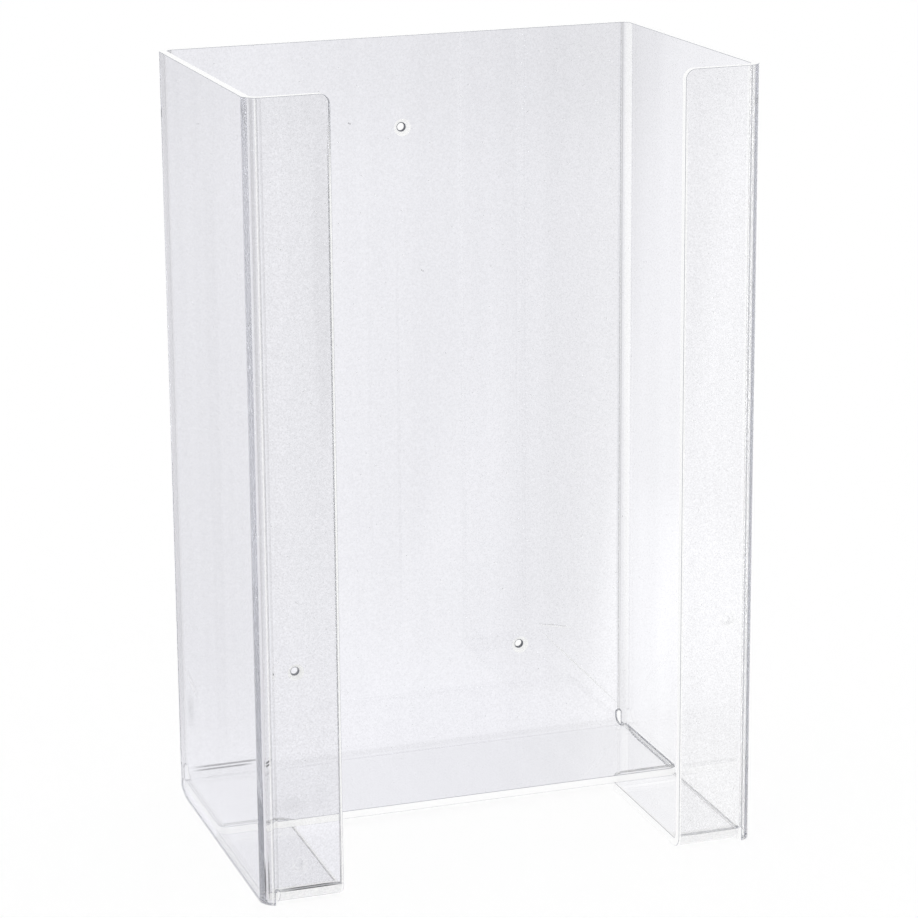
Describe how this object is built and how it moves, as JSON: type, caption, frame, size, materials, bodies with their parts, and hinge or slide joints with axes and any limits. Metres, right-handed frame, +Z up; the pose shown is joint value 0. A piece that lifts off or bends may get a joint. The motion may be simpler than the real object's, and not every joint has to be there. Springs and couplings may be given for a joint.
{
  "type": "disposable glove dispenser",
  "caption": "Clear folded-sheet holder for boxes of disposable gloves, with an open top, an open front between flanges, a floor tongue on bonded feet and countersunk wall holes.",
  "frame": {"origin": "middle of the footprint, on the surface that the feet stand on", "axes": "+Z up along the walls, +Y towards the wall that the back screws to, -Y towards the open front, +X to the right as seen from the front"},
  "size_m": [0.254, 0.164, 0.39],
  "materials": {
    "clear_sheet": "clear, polished faces with brighter cut edges"
  },
  "bodies": {
    "root": {"folded_holder": "clear_sheet"}
  },
  "joints": []
}
